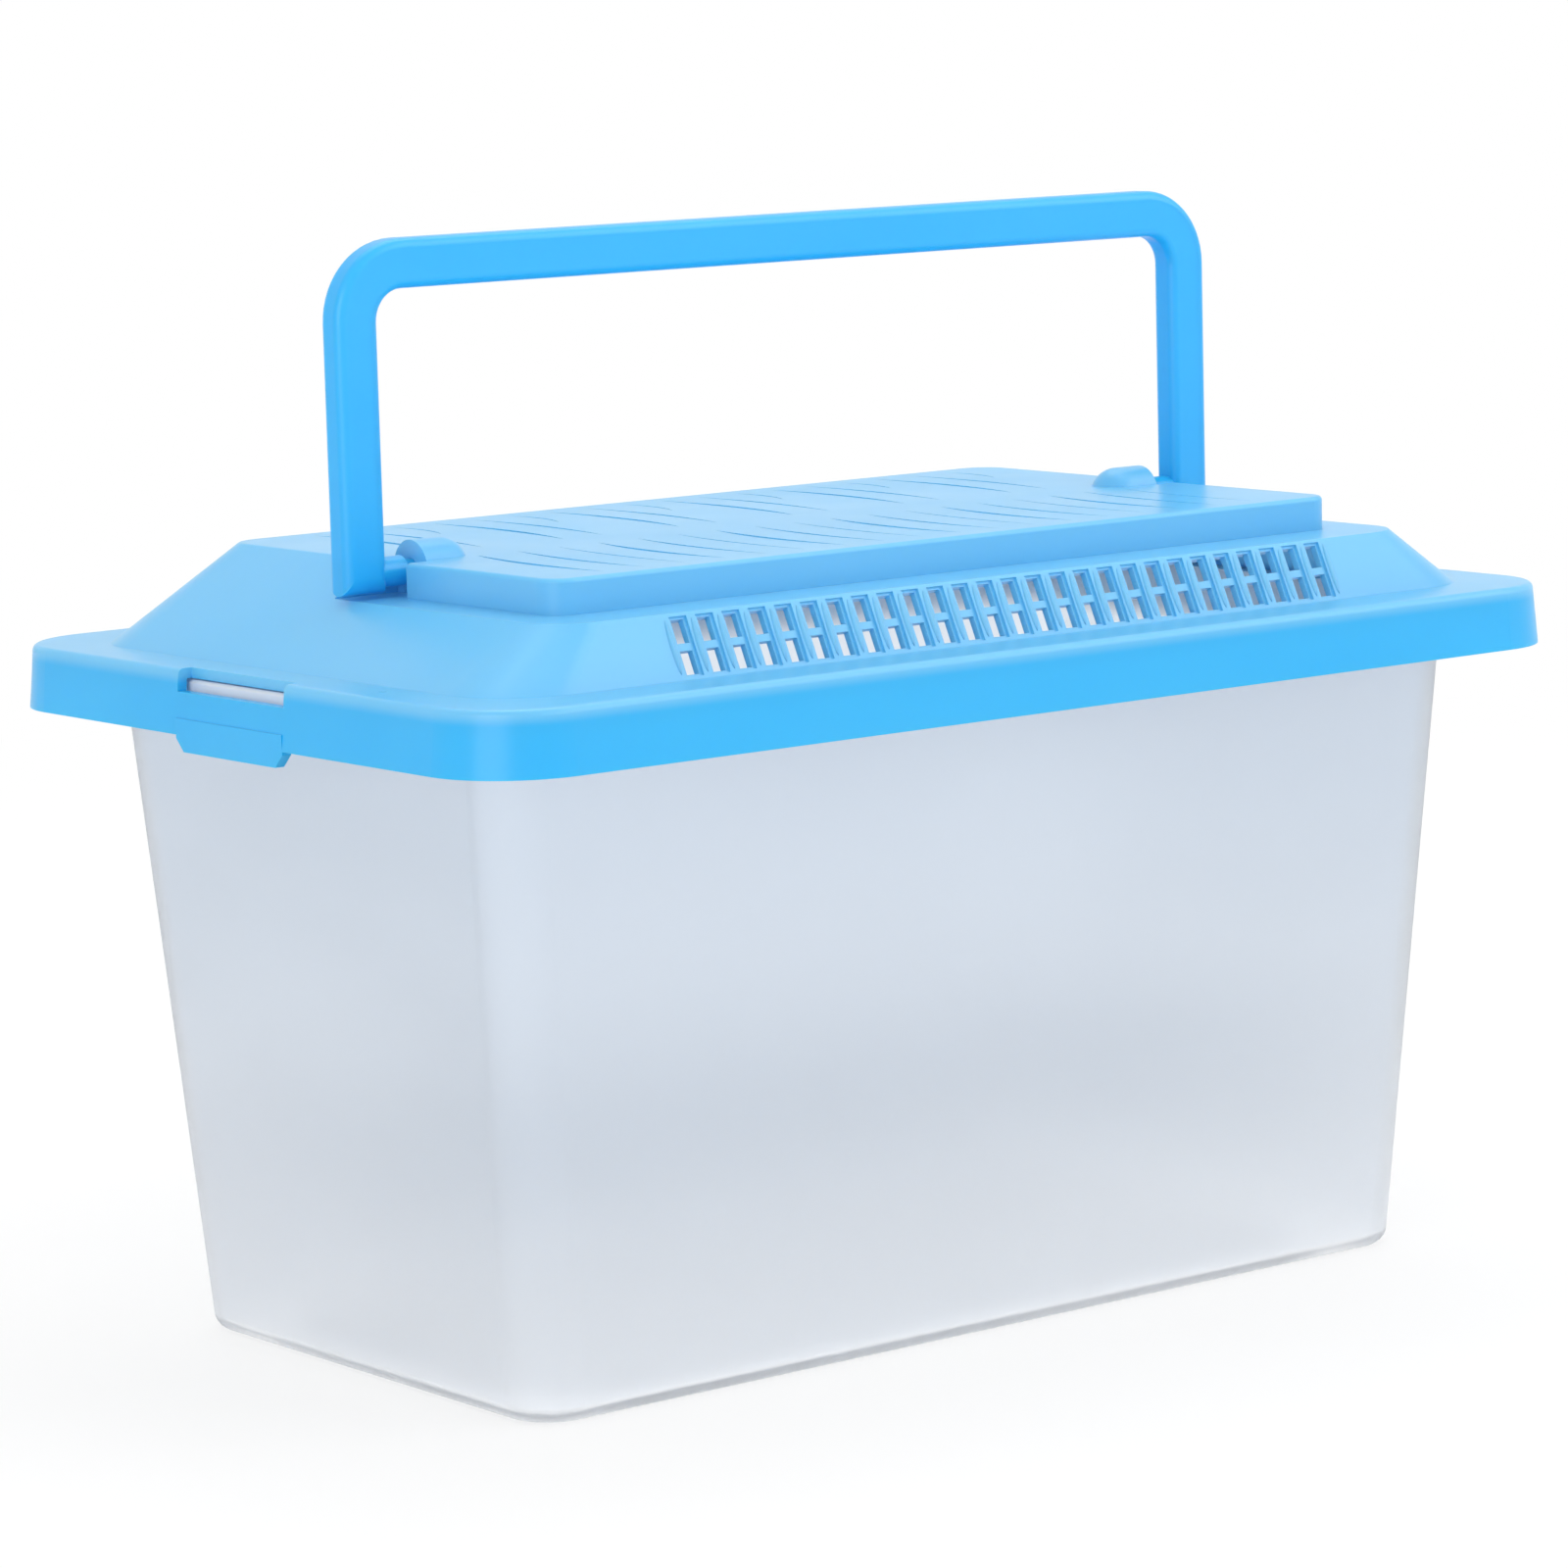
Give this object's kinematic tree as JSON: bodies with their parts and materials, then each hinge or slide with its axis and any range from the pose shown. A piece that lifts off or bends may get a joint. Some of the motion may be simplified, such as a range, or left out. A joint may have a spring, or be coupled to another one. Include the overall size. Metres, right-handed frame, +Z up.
{
  "type": "portable fish tank",
  "caption": "Small tapered clear plastic tank with a vented clip-on lid and a fold-down carry handle, for holding or carrying small fish, turtles or insects.",
  "frame": {"origin": "centre of the base, on the surface the tank stands on", "axes": "+X along the length, +Y to the back (the handle folds down to -Y, the vented side), +Z up"},
  "size_m": [0.24, 0.15, 0.1923],
  "materials": {
    "tank_plastic": "frosted translucent",
    "lid_plastic": "satin, slightly translucent",
    "handle_plastic": "satin, slightly translucent"
  },
  "bodies": {
    "tank": {"tank": "tank_plastic"},
    "lid": {"lid": "lid_plastic"},
    "handle": {"handle": "handle_plastic"}
  },
  "joints": [
    {"name": "lid_lift", "type": "slide", "parent": "tank", "child": "lid", "axis": [0, 0, 1], "range_m": [0, 0.04]},
    {"name": "handle_swing", "type": "hinge", "parent": "lid", "child": "handle", "pos_m": [0, 0, 0.1366], "axis": [1, 0, 0], "range_deg": [0, 90]}
  ]
}
